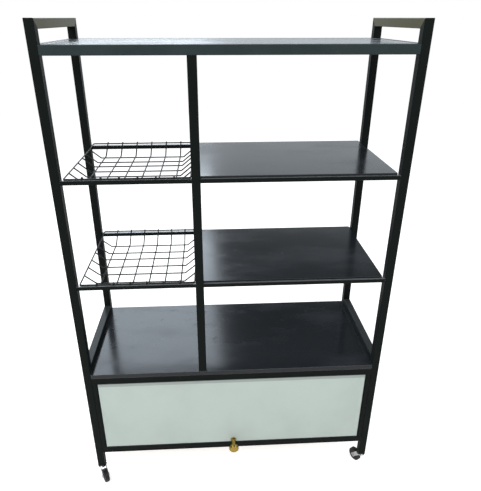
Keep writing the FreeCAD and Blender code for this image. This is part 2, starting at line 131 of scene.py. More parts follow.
class Recipe:
    """The node tree of a material or a world, built node by node."""

    bevel_samples: int = 4
    corner_span: Span = (0.02, 0.22)
    upward_span: Span = (0.55, 0.98)

    def __init__(self, owner: Union[bpy.types.Material, bpy.types.World]) -> None:
        """Empties the owner's node tree.

        Args:
            owner: The material or world that the tree belongs to.
        """
        owner.use_nodes = True
        self.owner = owner
        self.tree = owner.node_tree
        self.tree.nodes.clear()

    @classmethod
    def of_material(cls, name: str) -> "Recipe":
        """Returns the recipe of a new material."""
        return cls(bpy.data.materials.new(name))

    def node(
        self,
        kind: str,
        settings: Optional[dict] = None,
        feeds: Optional[dict] = None,
        out: Union[int, str] = 0,
    ) -> Term:
        """Adds one node.

        Args:
            kind: The node's type name.
            settings: The node's own properties, which are set first.
            feeds: Values or terms for its input sockets, by name or index.
            out: The output socket that is returned.

        Returns:
            The chosen output as a term.
        """
        made = self.tree.nodes.new(kind)
        for key, value in (settings or {}).items():
            setattr(made, key, value)
        for key, value in (feeds or {}).items():
            if isinstance(value, Term):
                self.tree.links.new(value.socket, made.inputs[key])
            else:
                made.inputs[key].default_value = self._fitted(made.inputs[key], value)
        return Term(self, made.outputs[out])

    @staticmethod
    def _fitted(socket: bpy.types.NodeSocket, value: Feed) -> Feed:
        """Gives a colour its alpha where the socket wants four numbers."""
        return (*value, 1.0) if socket.type == "RGBA" else value

    def place(self) -> Term:
        """Returns the object coordinates."""
        return self.node("ShaderNodeTexCoord", out="Object")

    def stretched(self, stretch: Point, turn: Point) -> Term:
        """Returns object coordinates that are scaled per axis and turned.

        Args:
            stretch: The factor along each axis.
            turn: The turn about each axis, in radians.

        Returns:
            The coordinates.
        """
        feeds = {"Vector": self.place(), "Scale": stretch, "Rotation": turn}
        return self.node("ShaderNodeMapping", {}, feeds)

    def noise(self, grain: Grain) -> Term:
        """Returns a noise level from 0 to 1.

        Args:
            grain: The noise and its step.

        Returns:
            The level.
        """
        place = self.stretched(grain.stretch, grain.turn) if grain.stretch else self.place()
        level = self.node(
            "ShaderNodeTexNoise",
            {},
            {"Vector": place, "Scale": grain.scale, "Detail": grain.detail, "Roughness": grain.rough},
            "Fac",
        )
        return self.stepped(level, grain.step) if grain.step else level

    def stepped(self, level: Term, span: Span, to: Span = (0.0, 1.0)) -> Term:
        """Returns a level that is mapped smoothly from one span to another.

        Args:
            level: The level.
            span: The two levels where the rise starts and ends.
            to: What those two become.

        Returns:
            The mapped level.
        """
        ends = {"From Min": span[0], "From Max": span[1], "To Min": to[0], "To Max": to[1]}
        return self.node(
            "ShaderNodeMapRange", {"interpolation_type": "SMOOTHSTEP"}, {"Value": level, **ends}
        )

    def axis(self, vector: Term, name: str) -> Term:
        """Returns one component, X, Y or Z, of a vector."""
        return self.node("ShaderNodeSeparateXYZ", {}, {0: vector}, name)

    def blend(self, factor: Feed, first: Feed, second: Feed) -> Term:
        """Returns a colour between first, at factor 0, and second, at factor 1."""
        return self.node("ShaderNodeMix", {"data_type": "RGBA"}, {0: factor, 6: first, 7: second}, 2)

    def level(self, factor: Feed, first: Feed, second: Feed) -> Term:
        """Returns a level between first, at factor 0, and second, at factor 1."""
        return self.node("ShaderNodeMix", {"data_type": "FLOAT"}, {0: factor, 2: first, 3: second})

    def upward(self) -> Term:
        """Returns 1 on faces that look straight up and 0 on walls."""
        normal = self.node("ShaderNodeNewGeometry", out="Normal")
        return self.stepped(self.axis(normal, "Z"), self.upward_span)

    def sideways(self) -> Term:
        """Returns 1 on faces that look straight to the left or right."""
        normal = self.node("ShaderNodeNewGeometry", out="Normal")
        return self.node("ShaderNodeMath", {"operation": "ABSOLUTE"}, {0: self.axis(normal, "X")})

    def edges(self, reach: float) -> Term:
        """Returns 1 on sharp corners and 0 on flats.

        Args:
            reach: How far from the corner the mask goes, in metres.

        Returns:
            The mask.
        """
        rounded = self.node("ShaderNodeBevel", {"samples": self.bevel_samples}, {"Radius": reach})
        flat = self.node("ShaderNodeNewGeometry", out="True Normal")
        agreement = self.node(
            "ShaderNodeVectorMath", {"operation": "DOT_PRODUCT"}, {0: rounded, 1: flat}, "Value"
        )
        return self.stepped(1.0 - agreement, self.corner_span)

    def bump(self, height: Term, depth: float, strength: float) -> Term:
        """Returns a normal that follows a height field, depth metres deep."""
        feeds = {"Height": height, "Distance": depth, "Strength": strength}
        return self.node("ShaderNodeBump", {}, feeds)

    def finish(self, constants: dict, varying: dict) -> bpy.types.Material:
        """Closes a material's tree with a Principled shader.

        Args:
            constants: Values for the shader's own sockets.
            varying: Terms for the sockets that change over a surface.

        Returns:
            The material.
        """
        self.close(self.node("ShaderNodeBsdfPrincipled", {}, {**constants, **varying}))
        return self.owner

    def close(self, shader: Term, kind: str = "ShaderNodeOutputMaterial") -> None:
        """Links a shader to the tree's output."""
        output = self.tree.nodes.new(kind)
        self.tree.links.new(shader.socket, output.inputs["Surface"])


# --------------------------------------------------------------------------
# Finishes
# --------------------------------------------------------------------------


def lighter(colour: Colour, factor: float) -> Colour:
    """Returns a colour with each channel times a factor, at most 1."""
    return tuple(min(1.0, factor * channel) for channel in colour)


@dataclass(frozen=True)
class PowderCoat:
    """Satin powder coat on steel tube: fine orange peel, a lighter top of dust and painted sheen, and
    lighter corners of rubbed wear.
    """

    name: str
    colour: Colour = (0.0046, 0.0064, 0.0058)
    patches: Grain = Grain(9.0, 4.0, 0.6)
    patch_lift: float = 1.7
    # Upward faces lighten towards this colour: partly dust, partly painted sheen where the tops catch
    # the light.
    dust_and_sheen: Colour = (0.050, 0.056, 0.060)
    dust_and_sheen_amount: float = 0.85
    top_patches: Grain = Grain(26.0, 5.0, 0.62)
    top_patch_swing: float = 0.45
    # Corners lighten towards this colour: rubbed wear, and on the shelf rails a painted highlight.
    corner_mark: Colour = (0.030, 0.034, 0.034)
    corner_breakup: Grain = Grain(55.0, 4.0, step=(0.38, 0.62))
    corner_reach: float = 1.6 * MM
    roughness: float = 0.42
    patch_dulling: float = 0.16
    pits: Grain = Grain(420.0, 2.0)
    pit_dulling: float = 0.10
    rub_polish: float = 0.12
    shine: float = 0.06
    top_coat: float = 0.10
    coat_roughness: float = 0.18
    coat_ior: float = 1.8
    peel: Grain = Grain(1500.0, 2.0)
    swell: Grain = Grain(520.0, 1.0)
    swell_share: float = 0.5
    peel_depth: float = 0.05 * MM
    peel_strength: float = 0.55

    def material(self) -> bpy.types.Material:
        """Mixes the finish.

        Returns:
            The material.
        """
        mix = Recipe.of_material(self.name)
        patches = mix.noise(self.patches)
        spread = (1.0 - self.top_patch_swing) + self.top_patch_swing * mix.noise(self.top_patches)
        marked_corners = mix.edges(self.corner_reach) * mix.noise(self.corner_breakup)
        base = mix.blend(patches, self.colour, lighter(self.colour, self.patch_lift))
        # Dust and painted sheen: upward faces are lightened, in patches.
        base = mix.blend(mix.upward() * spread * self.dust_and_sheen_amount, base, self.dust_and_sheen)
        base = mix.blend(marked_corners, base, self.corner_mark)
        gloss = self.roughness + self.patch_dulling * (patches - MIDDLE)
        gloss = gloss + self.pit_dulling * (mix.noise(self.pits) - MIDDLE) - self.rub_polish * marked_corners
        peel = mix.noise(self.peel) + self.swell_share * mix.noise(self.swell)
        return mix.finish(
            {
                "Specular IOR Level": self.shine,
                "Coat Roughness": self.coat_roughness,
                "Coat IOR": self.coat_ior,
            },
            {
                "Base Color": base,
                "Roughness": gloss,
                "Coat Weight": mix.upward() * self.top_coat,
                "Normal": mix.bump(peel, self.peel_depth, self.peel_strength),
            },
        )


@dataclass(frozen=True)
class GlossSheet:
    """Gloss black shelf surface: clear reflections, wipe marks, settled dust, a hazy top that is
    partly painted reflection, and painted highlights on the rims.
    """

    name: str
    colour: Colour = (0.0105, 0.0125, 0.0150)
    # Upward faces lighten towards this colour in large patches: partly wipe haze and dust, partly
    # painted reflection of the bright room.
    haze_and_reflection: Colour = (0.030, 0.036, 0.043)
    haze_and_reflection_amount: float = 0.5
    haze_and_reflection_floor: float = 0.25
    wipes_and_reflections: Grain = Grain(
        3.2, 5.0, 0.62, step=(0.42, 0.72), stretch=(1.0, 2.6, 1.0), turn=(0.0, 0.0, 0.5)
    )
    wipe_haze_and_reflection: float = 0.75
    prints: Grain = Grain(24.0, 4.0, 0.7, step=(0.60, 0.74))
    print_haze: float = 0.30
    speck: Colour = (0.16, 0.17, 0.18)
    specks: Grain = Grain(700.0, 2.0, step=(0.70, 0.80))
    speck_amount: float = 0.5
    # Painted highlight: the edges lighten towards this colour.
    rim: Colour = (0.26, 0.28, 0.30)
    rim_reach: float = 1.1 * MM
    rim_highlight_amount: float = 0.75
    roughness: float = 0.13
    wipe_dulling: float = 0.10
    print_dulling: float = 0.09
    clouds: Grain = Grain(90.0, 2.0)
    cloud_dulling: float = 0.04
    ior: float = 1.42
    waves: Grain = Grain(7.0, 2.0)
    ripples: Grain = Grain(300.0, 2.0)
    ripple_share: float = 0.05
    wave_depth: float = 0.5 * MM
    wave_strength: float = 0.25

    def material(self) -> bpy.types.Material:
        """Mixes the finish.

        Returns:
            The material.
        """
        mix = Recipe.of_material(self.name)
        wipes_and_reflections = mix.noise(self.wipes_and_reflections)
        prints = mix.noise(self.prints)
        # Haze and painted reflection: large patches and prints over an even lift.
        haze_and_reflection_marks = self.haze_and_reflection_floor + self.wipe_haze_and_reflection * wipes_and_reflections + self.print_haze * prints
        specks = mix.noise(self.specks) * self.speck_amount * mix.upward()
        base = mix.blend(mix.upward() * self.haze_and_reflection_amount * haze_and_reflection_marks, self.colour, self.haze_and_reflection)
        base = mix.blend(specks, base, self.speck)
        # Painted highlight along the edges.
        base = mix.blend(mix.edges(self.rim_reach) * self.rim_highlight_amount, base, self.rim)
        gloss = self.roughness + self.wipe_dulling * wipes_and_reflections + self.print_dulling * prints
        gloss = gloss + self.cloud_dulling * mix.noise(self.clouds)
        waves = mix.noise(self.waves) + self.ripple_share * mix.noise(self.ripples)
        return mix.finish(
            {"IOR": self.ior},
            {
                "Base Color": base,
                "Roughness": gloss,
                "Normal": mix.bump(waves, self.wave_depth, self.wave_strength),
            },
        )


@dataclass(frozen=True)
class PaleLaminate:
    """Pale satin laminate with a painted shadow band along its top, under the rail above: faint
    clouding and rubbed corners.
    """

    name: str
    top: float
    colour: Colour = (0.489, 0.566, 0.527)
    cloud: Colour = (0.453, 0.525, 0.489)
    clouds: Grain = Grain(4.0, 4.0, 0.6, step=(0.36, 0.66))
    grime: Colour = (0.300, 0.340, 0.313)
    fibres: Grain = Grain(260.0, 3.0, 0.6, stretch=(1.0, 1.0, 5.0))
    fibre_step: Span = (0.60, 0.75)
    fibre_grime: float = 0.22
    # Painted shadow: the colour of the band that the rail above would shade across the panel's top.
    painted_shadow: Colour = (0.300, 0.342, 0.322)
    painted_shadow_height: float = 11.0 * MM
    painted_shadow_fade: float = 1.0 * MM
    painted_shadow_amount: float = 0.85
    corner_breakup: Grain = Grain(40.0, 4.0, step=(0.42, 0.60))
    corner_reach: float = 1.6 * MM
    rub_grime: float = 0.7
    roughness: float = 0.36
    fibre_dulling: float = 0.12
    cloud_dulling: float = 0.10
    shine: float = 0.45
    fibre_depth: float = 0.06 * MM
    fibre_strength: float = 0.5

    def material(self) -> bpy.types.Material:
        """Mixes the finish.

        Returns:
            The material.
        """
        mix = Recipe.of_material(self.name)
        clouds = mix.noise(self.clouds)
        fibres = mix.noise(self.fibres)
        # The painted shadow runs from the panel's top down by the band's height.
        painted_shadow_foot = self.top - self.painted_shadow_height
        in_painted_shadow = mix.stepped(mix.axis(mix.place(), "Z"), (painted_shadow_foot - self.painted_shadow_fade, painted_shadow_foot))
        corner_mark = mix.edges(self.corner_reach) * mix.noise(self.corner_breakup)
        base = mix.blend(clouds, self.colour, self.cloud)
        base = mix.blend(mix.stepped(fibres, self.fibre_step) * self.fibre_grime, base, self.grime)
        base = mix.blend(in_painted_shadow * self.painted_shadow_amount, base, self.painted_shadow)
        base = mix.blend(corner_mark * self.rub_grime, base, self.grime)
        gloss = self.roughness + self.fibre_dulling * (fibres - MIDDLE) + self.cloud_dulling * clouds
        return mix.finish(
            {"Specular IOR Level": self.shine},
            {
                "Base Color": base,
                "Roughness": gloss,
                "Normal": mix.bump(fibres, self.fibre_depth, self.fibre_strength),
            },
        )


@dataclass(frozen=True)
class BirchPly:
    """Birch plywood: long grain on faces and thin dark glue lines on cut edges."""

    name: str
    pale: Colour = (0.60, 0.47, 0.31)
    dark: Colour = (0.44, 0.31, 0.18)
    grain: Grain = Grain(6.0, 6.0, 0.62, stretch=(1.0, 1.6, 26.0))
    grain_step: Span = (0.35, 0.68)
    pores: Grain = Grain(40.0, 3.0, 0.6, stretch=(1.0, 1.0, 30.0))
    pore_step: Span = (0.60, 0.72)
    pore_amount: float = 0.35
    glue: Colour = (0.20, 0.12, 0.06)
    ply_waves: float = 105.0
    ply_waver: float = 0.3
    glue_step: Span = (0.55, 0.9)
    glue_amount: float = 0.7
    roughness: float = 0.52
    pore_dulling: float = 0.2
    grain_depth: float = 0.10 * MM
    grain_strength: float = 0.4

    def material(self) -> bpy.types.Material:
        """Mixes the finish.

        Returns:
            The material.
        """
        mix = Recipe.of_material(self.name)
        grain = mix.noise(self.grain)
        pores = mix.noise(self.pores)
        plies = mix.node(
            "ShaderNodeTexWave",
            {"bands_direction": "X"},
            {"Vector": mix.place(), "Scale": self.ply_waves, "Distortion": self.ply_waver},
            "Fac",
        )
        glue_lines = mix.upward() * mix.stepped(plies, self.glue_step) * self.glue_amount
        base = mix.blend(mix.stepped(grain, self.grain_step), self.pale, self.dark)
        base = mix.blend(mix.stepped(pores, self.pore_step) * self.pore_amount, base, self.dark)
        base = mix.blend(glue_lines, base, self.glue)
        return mix.finish(
            {},
            {
                "Base Color": base,
                "Roughness": self.roughness + self.pore_dulling * (pores - MIDDLE),
                "Normal": mix.bump(pores + grain, self.grain_depth, self.grain_strength),
            },
        )


class Metal(Enum):
    """The bare and plated metals, as face colour, tarnish colour and roughness. The tarnish colour
    also serves as painted shade on flanks.
    """

    ZINC = ((0.60, 0.61, 0.63), (0.36, 0.37, 0.39), 0.33)
    CHROME = ((0.66, 0.67, 0.68), (0.30, 0.30, 0.30), 0.17)
    BRASS = ((0.50, 0.345, 0.075), (0.15, 0.085, 0.015), 0.12)
    STEEL = ((0.52, 0.52, 0.53), (0.24, 0.23, 0.22), 0.30)


@dataclass(frozen=True)
class PlatedMetal:
    """Plated or polished metal with brush lines, tarnish in patches, painted shade on flanks that
    face left and right, and rubbed corners.
    """

    name: str
    metal: Metal
    brushed: Point = (1.0, 1.0, 9.0)
    brush: Grain = Grain(700.0, 3.0, 0.6)
    stains: Grain = Grain(160.0, 5.0, 0.65, step=(0.50, 0.74))
    stain_amount: float = 0.65
    flank_step: Span = (0.35, 0.90)
    # Painted shade: how far faces that look left or right darken towards the tarnish colour.
    flank_shade: float = 0.0
    edge_reach: float = 0.7 * MM
    edge_amount: float = 0.5
    edge_lift: float = 1.25
    stain_skin: float = 0.35
    stain_dulling: float = 0.22
    brush_dulling: float = 0.12
    brush_depth: float = 0.03 * MM
    brush_strength: float = 0.35

    def material(self) -> bpy.types.Material:
        """Mixes the finish.

        Returns:
            The material.
        """
        face, tarnish_and_shade, roughness = self.metal.value
        mix = Recipe.of_material(self.name)
        brush = mix.noise(replace(self.brush, stretch=self.brushed))
        stains = mix.noise(self.stains)
        # Painted shade: sideways faces darken, standing in for dark surroundings reflected in the
        # flanks.
        shaded_flanks = mix.stepped(mix.sideways(), self.flank_step) * self.flank_shade
        edges = mix.edges(self.edge_reach) * self.edge_amount
        base = mix.blend(stains * self.stain_amount, face, tarnish_and_shade)
        base = mix.blend(shaded_flanks, base, tarnish_and_shade)
        base = mix.blend(edges, base, lighter(face, self.edge_lift))
        gloss = roughness + self.stain_dulling * stains + self.brush_dulling * (brush - MIDDLE)
        return mix.finish(
            {},
            {
                "Base Color": base,
                "Metallic": 1.0 - self.stain_skin * stains,
                "Roughness": gloss,
                "Normal": mix.bump(brush, self.brush_depth, self.brush_strength),
            },
        )


@dataclass(frozen=True)
class MouldedBlack:
    """Black moulded plastic or hard rubber: fine grain, scuffs and grey floor dust."""

    name: str
    colour: Colour = (0.012, 0.012, 0.013)
    scuff: Colour = (0.095, 0.092, 0.088)
    scuffs: Grain = Grain(130.0, 5.0, 0.7, step=(0.55, 0.72))
    scuff_amount: float = 0.6
    edge_reach: float = 0.8 * MM
    edge_amount: float = 0.5
    roughness: float = 0.55
    scuff_dulling: float = 0.2
    grain: Grain = Grain(1300.0, 2.0)
    grain_dulling: float = 0.1
    shine: float = 0.4
    grain_depth: float = 0.06 * MM
    grain_strength: float = 0.5

    def material(self) -> bpy.types.Material:
        """Mixes the finish.

        Returns:
            The material.
        """
        mix = Recipe.of_material(self.name)
        grain = mix.noise(self.grain)
        scuffs = mix.noise(self.scuffs)
        base = mix.blend(scuffs * self.scuff_amount, self.colour, self.scuff)
        base = mix.blend(mix.edges(self.edge_reach) * self.edge_amount, base, self.scuff)
        gloss = self.roughness + self.scuff_dulling * scuffs + self.grain_dulling * (grain - MIDDLE)
        return mix.finish(
            {"Specular IOR Level": self.shine},
            {
                "Base Color": base,
                "Roughness": gloss,
                "Normal": mix.bump(grain, self.grain_depth, self.grain_strength),
            },
        )


@dataclass(frozen=True)
class CoatedWire:
    """Thick black dip coat on wire, glossier than the tubes, with bare nicks."""

    name: str
    colour: Colour = (0.008, 0.0085, 0.0085)
    drips: Grain = Grain(70.0, 3.0, 0.6)
    drip_lift: float = 1.8
    nick: Colour = (0.10, 0.098, 0.095)
    nicks: Grain = Grain(240.0, 4.0, 0.7, step=(0.64, 0.72))
    nick_amount: float = 0.7
    nick_metal: float = 0.6
    roughness: float = 0.34
    nick_dulling: float = 0.25
    drip_dulling: float = 0.12
    shine: float = 0.28
    drip_depth: float = 0.25 * MM
    drip_strength: float = 0.4

    def material(self) -> bpy.types.Material:
        """Mixes the finish.

        Returns:
            The material.
        """
        mix = Recipe.of_material(self.name)
        drips = mix.noise(self.drips)
        nicks = mix.noise(self.nicks)
        base = mix.blend(drips, self.colour, lighter(self.colour, self.drip_lift))
        base = mix.blend(nicks * self.nick_amount, base, self.nick)
        gloss = self.roughness + self.nick_dulling * nicks + self.drip_dulling * (drips - MIDDLE)
        return mix.finish(
            {"Specular IOR Level": self.shine},
            {
                "Base Color": base,
                "Roughness": gloss,
                "Metallic": nicks * self.nick_metal,
                "Normal": mix.bump(drips, self.drip_depth, self.drip_strength),
            },
        )


class Paints:
    """Every finish of the stand, made once and shared by its pieces."""

    def __init__(self) -> None:
        """Makes the materials."""
        self.tube = PowderCoat("tube_powder_coat").material()
        # Painted highlight: the bright top and corner colours here draw a light streak along the tops
        # and edges of the shelf rails.
        self.slim = PowderCoat(
            "shelf_rail_powder_coat",
            dust_and_sheen=(0.170, 0.185, 0.190),
            dust_and_sheen_amount=1.0,
            corner_mark=(0.120, 0.130, 0.132),
            top_coat=1.0,
        ).material()
        self.top_rail = PowderCoat(
            "top_rail_powder_coat", colour=(0.0195, 0.0275, 0.0285), corner_mark=(0.050, 0.058, 0.060)
        ).material()
        self.handle = PowderCoat(
            "handle_powder_coat",
            colour=(0.056, 0.050, 0.018),
            dust_and_sheen=(0.130, 0.117, 0.056),
            roughness=0.34,
            shine=0.12,
            top_coat=0.0,
        ).material()
        self.weld = PowderCoat(
            "weld_powder_coat", colour=(0.012, 0.0125, 0.013), roughness=0.34, peel_depth=0.10 * MM
        ).material()
        # Painted reflection: the strong bluish haze here stands in for the bright room reflected in
        # the top board.
        self.top = GlossSheet(
            "top_board_gloss",
            haze_and_reflection=(0.300, 0.330, 0.375),
            haze_and_reflection_amount=0.9,
            roughness=0.20,
            ior=1.60,
        ).material()
        self.board = GlossSheet("cabinet_board_gloss", haze_and_reflection_amount=0.75).material()
        self.sheet = GlossSheet(
            "shelf_sheet_enamel", haze_and_reflection_amount=0.55, rim=(0.040, 0.044, 0.048), roughness=0.14
        ).material()
        self.wire = CoatedWire("basket_dip_coat").material()
        panel_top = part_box("drawer_front_panel")[1].z
        self.panel = PaleLaminate("drawer_front_laminate", panel_top).material()
        self.ply = BirchPly("drawer_box_birch").material()
        self.zinc = PlatedMetal("slide_zinc_plate", Metal.ZINC, brushed=(1.0, 0.12, 9.0)).material()
        self.chrome = PlatedMetal("caster_fork_plate", Metal.CHROME).material()
        self.steel = PlatedMetal("screw_and_axle_steel", Metal.STEEL).material()
        # Painted shade on the knob's left and right sides.
        self.brass = PlatedMetal(
            "knob_polished_brass", Metal.BRASS, brushed=(6.0, 1.0, 6.0), flank_shade=0.9
        ).material()
        self.plug = MouldedBlack("post_plug_plastic").material()
        self.tyre = MouldedBlack("caster_tyre_rubber", roughness=0.48).material()


def dress(node: str, material: bpy.types.Material) -> None:
    """Gives a carried-over node its finish and reports it.

    Args:
        node: The node's name.
        material: The finish.
    """
    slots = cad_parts[node].data.materials
    slots.clear()
    slots.append(material)
    LOG.info("%s: %s", node, material.name)


# --------------------------------------------------------------------------
# Bench: the operators that shape a piece
# --------------------------------------------------------------------------


class Bench:
    """Short names for the mesh operators, applied to one piece at a time."""

    merge_gap: float = 0.01 * MM

    @staticmethod
    def clear() -> None:
        """Leaves edit mode and deselects everything."""
        if bpy.context.object and bpy.context.object.mode != "OBJECT":
            bpy.ops.object.mode_set(mode="OBJECT")
        bpy.ops.object.select_all(action="DESELECT")

    @classmethod
    def ring(cls, radius: float, at: Vector, facing: Vector, sides: int) -> None:
        """Adds an open ring of edges that faces along a direction, and edits it.

        Args:
            radius: The ring's radius in metres.
            at: Its centre.
            facing: The direction of the ring's axis.
            sides: How many edges it has.
        """
        cls.clear()
        turn = facing.to_track_quat("Z", "Y").to_euler()
        bpy.ops.mesh.primitive_circle_add(
            vertices=sides, radius=radius, location=at, rotation=turn
        )
        bpy.ops.object.transform_apply(location=True, rotation=True, scale=True)
        bpy.ops.object.mode_set(mode="EDIT")
        bpy.ops.mesh.select_mode(type="EDGE")
        bpy.ops.mesh.select_all(action="SELECT")

    @staticmethod
    def extrude(step: Vector) -> None:
        """Extrudes what is selected by a vector."""
        bpy.ops.mesh.extrude_region_move(TRANSFORM_OT_translate={"value": tuple(step)})

    @staticmethod
    def spin(angle: float, centre: Vector, axis: Vector, steps: int) -> None:
        """Sweeps what is selected about an axis, by an angle that follows the right-hand rule.

        Args:
            angle: The angle in radians. The operator itself turns the other way.
            centre: A point on the axis.
            axis: The axis's direction.
            steps: How many steps the sweep has.
        """
        bpy.ops.mesh.spin(steps=steps, angle=-angle, center=tuple(centre), axis=tuple(axis))

    @staticmethod
    def scale(factors: Point, centre: Vector) -> None:
        """Scales what is selected about a point."""
        bpy.ops.transform.resize(value=factors, center_override=tuple(centre))

    @classmethod
    def close(cls) -> None:
        """Merges doubles, fills open ends and points every face outwards."""
        bpy.ops.mesh.select_all(action="SELECT")
        bpy.ops.mesh.remove_doubles(threshold=cls.merge_gap)
        bpy.ops.mesh.fill_holes(sides=0)
        bpy.ops.mesh.normals_make_consistent(inside=False)

    @classmethod
    def done(cls, name: str, material: bpy.types.Material, smooth_to: float) -> bpy.types.Object:
        """Closes the piece and names it.

        Args:
            name: The piece's name.
            material: Its finish.
            smooth_to: Faces that meet below this angle, in degrees, shade smoothly.

        Returns:
            The finished object.
        """
        cls.close()
        bpy.ops.object.mode_set(mode="OBJECT")
        made = bpy.context.object
        made.name = name
        made.data.name = name
        made.data.materials.clear()
        made.data.materials.append(material)
        bpy.ops.object.shade_smooth_by_angle(angle=math.radians(smooth_to))
        return made

    @staticmethod
    def copy(piece: bpy.types.Object, name: str, move: Matrix) -> bpy.types.Object:
        """Copies a piece with its own mesh.

        Args:
            piece: The piece.
            name: The copy's name.
            move: What moves the copy's mesh to its place.

        Returns:
            The copy.
        """
        twin = bpy.data.objects.new(name, piece.data.copy())
        twin.data.name = name
        twin.data.transform(move)
        bpy.context.scene.collection.objects.link(twin)
        return twin

    @classmethod
    def join(cls, pieces: list[bpy.types.Object], name: str) -> bpy.types.Object:
        """Joins pieces into one object.

        Args:
            pieces: The pieces.
            name: The joined object's name.

        Returns:
            The joined object.
        """
        cls.clear()
        for piece in pieces:
            piece.select_set(True)
        bpy.context.view_layer.objects.active = pieces[0]
        bpy.ops.object.join()
        pieces[0].name = name
        pieces[0].data.name = name
        return pieces[0]


@dataclass(frozen=True)
class BentWire:
    """A round wire that follows straight runs joined by tangent bends."""

    corners: list[Point]
    radius: float
    bend: float
    sides: int = 10
    steps: int = 4
    smooth_to: float = 60.0

    def make(self, name: str, material: bpy.types.Material) -> bpy.types.Object:
        """Sweeps a ring along the corners.

        Args:
            name: The wire's name.
            material: Its finish.

        Returns:
            The wire.
        """
        stops = [Vector(corner) for corner in self.corners]
        runs = [(end - start).normalized() for start, end in zip(stops, stops[1:])]
        Bench.ring(self.radius, stops[0], runs[0], self.sides)
        at = stops[0]
        for corner, before, after in zip(stops[1:-1], runs, runs[1:]):
            angle = before.angle(after)
            axis = before.cross(after).normalized()
            trim = self.bend * math.tan(angle / 2)
            start = corner - before * trim
            Bench.extrude(start - at)
            centre = start + axis.cross(before) * self.bend
            Bench.spin(angle, centre, axis, self.steps)
            at = corner + after * trim
        Bench.extrude(stops[-1] - at)
        return Bench.done(name, material, self.smooth_to)


# --------------------------------------------------------------------------
# Sub-assemblies
# --------------------------------------------------------------------------


class Run(Enum):
    """The axis a weld bead runs along, as the angle and axis that turn it there from X."""

    X = (0.0, "X")
    Y = (math.pi / 2, "Z")
    Z = (-math.pi / 2, "Y")


@dataclass(frozen=True)
class Seam:
    """One side of the joint where a rail butts against a post."""

    middle: Point
    run: Run
    length: float

    def place(self) -> Matrix:
        """Returns the move that lays a bead, made along X at the origin, on the seam."""
        angle, about = self.run.value
        return Matrix.Translation(self.middle) @ Matrix.Rotation(angle, 4, about)


@dataclass
class TubeFrame:
    """The welded tube frame, its boards and shelf sheets, and the welds that hold it."""

    paints: Paints
    rings: tuple[str, ...] = ("top", "cabinet", "base")
    long_bead: float = 20.0 * MM
    short_bead: float = 17.5 * MM
    bead_pitch: float = 2.1 * MM
    tip_radius: float = 0.825 * MM
    tip_swell: float = 1.75
    ripple_swell: float = 1.35
    bead_sides: int = 8
    bead_smooth_to: float = 70.0

    def dress_nodes(self) -> None:
        """Gives every tube, board and sheet its finish."""
        for corner in CORNERS:
            dress(f"{corner}_post", self.paints.tube)
            dress(f"{corner}_stile", self.paints.tube)
        for side in DEPTHS + HANDS:
            dress(f"top_{side}_rail", self.paints.top_rail)
            dress(f"cabinet_{side}_rail", self.paints.tube)
            dress(f"base_{side}_rail", self.paints.tube)
        for hand in HANDS:
            dress(f"{hand}_handle_bar", self.paints.handle)
            dress(f"guard_{hand}_rail", self.paints.tube)
            dress(f"{hand}_front_shelf_rails", self.paints.slim)
        dress("middle_post", self.paints.tube)
        dress("rear_shelf_rails", self.paints.slim)
        dress("top_panel", self.paints.top)
        dress("cabinet_board", self.paints.board)
        dress("lower_shelf", self.paints.sheet)
        dress("upper_shelf", self.paints.sheet)
        dress("post_end_plugs", self.paints.plug)

    def bead(self, length: float) -> bpy.types.Object:
        """Extrudes a rippled weld bead along X, centred on the origin.

        Args:
            length: The bead's length.

        Returns:
            The bead.
        """
        ripples = round(length / self.bead_pitch)
        half_ripple = Vector((length / ripples / 2, 0.0, 0.0))
        at = Vector((-length / 2, 0.0, 0.0))
        Bench.ring(self.tip_radius, at, half_ripple, self.bead_sides)
        for count in range(ripples):
            swell = self.ripple_swell if count else self.tip_swell
            for growth in (swell, 1 / self.ripple_swell):
                at = at + half_ripple
                Bench.extrude(half_ripple)
                Bench.scale((1.0, growth, growth), at)
        return Bench.done("weld_bead", self.paints.weld, self.bead_smooth_to)

    def seams(self) -> list[Seam]:
        """Finds the seams between the rails of each ring and the posts.

        Returns:
            The seams.
        """
        seams = []
        for ring in self.rings:
            for hand in HANDS:
                low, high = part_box(f"{ring}_{hand}_rail")
                middle = (low + high) / 2
                inner = high.x if hand == "left" else low.x
                for y in (low.y, high.y):
                    seams.append(Seam((inner, y, middle.z), Run.Z, self.long_bead))
                    seams.append(Seam((middle.x, y, low.z), Run.X, self.long_bead))
            for depth in DEPTHS:
                low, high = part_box(f"{ring}_{depth}_rail")
                middle = (low + high) / 2
                inner = high.y if depth == "front" else low.y
                for x in (low.x, high.x):
                    seams.append(Seam((x, middle.y, low.z), Run.Y, self.short_bead))
                    seams.append(Seam((x, inner, middle.z), Run.Z, self.short_bead))
        return seams

    def weld(self) -> None:
        """Lays a bead along every seam."""
        patterns = {length: self.bead(length) for length in (self.long_bead, self.short_bead)}
        beads = [
            Bench.copy(patterns[seam.length], f"weld_{count}", seam.place())
            for count, seam in enumerate(self.seams(), 1)
        ]
        for pattern in patterns.values():
            bpy.data.objects.remove(pattern)
        LOG.info("frame_welds: %d beads", len(beads))
        welds = Bench.join(beads, "frame_welds")
        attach(welds, "frame")


